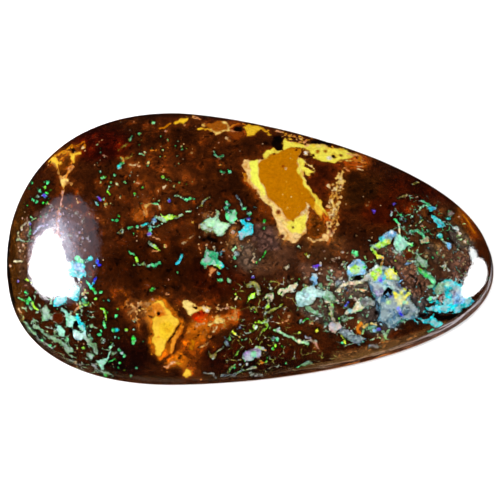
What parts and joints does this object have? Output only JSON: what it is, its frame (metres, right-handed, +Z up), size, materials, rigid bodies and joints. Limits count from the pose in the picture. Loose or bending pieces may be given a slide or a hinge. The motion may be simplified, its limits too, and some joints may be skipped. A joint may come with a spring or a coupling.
{
  "type": "polished boulder opal cabochon",
  "caption": "Pear-shaped freeform cabochon of brown ironstone with precious opal in its veins, domed and polished on top, flat underneath.",
  "frame": {"origin": "on the flat underside, at the centre of the stone's bounding box seen from above", "axes": "+X along the stone towards its narrow end, +Z up out of the domed face"},
  "size_m": [0.03, 0.0167, 0.0052],
  "materials": {
    "boulder_opal": "polished"
  },
  "bodies": {
    "root": {"stone": "boulder_opal"}
  },
  "joints": []
}
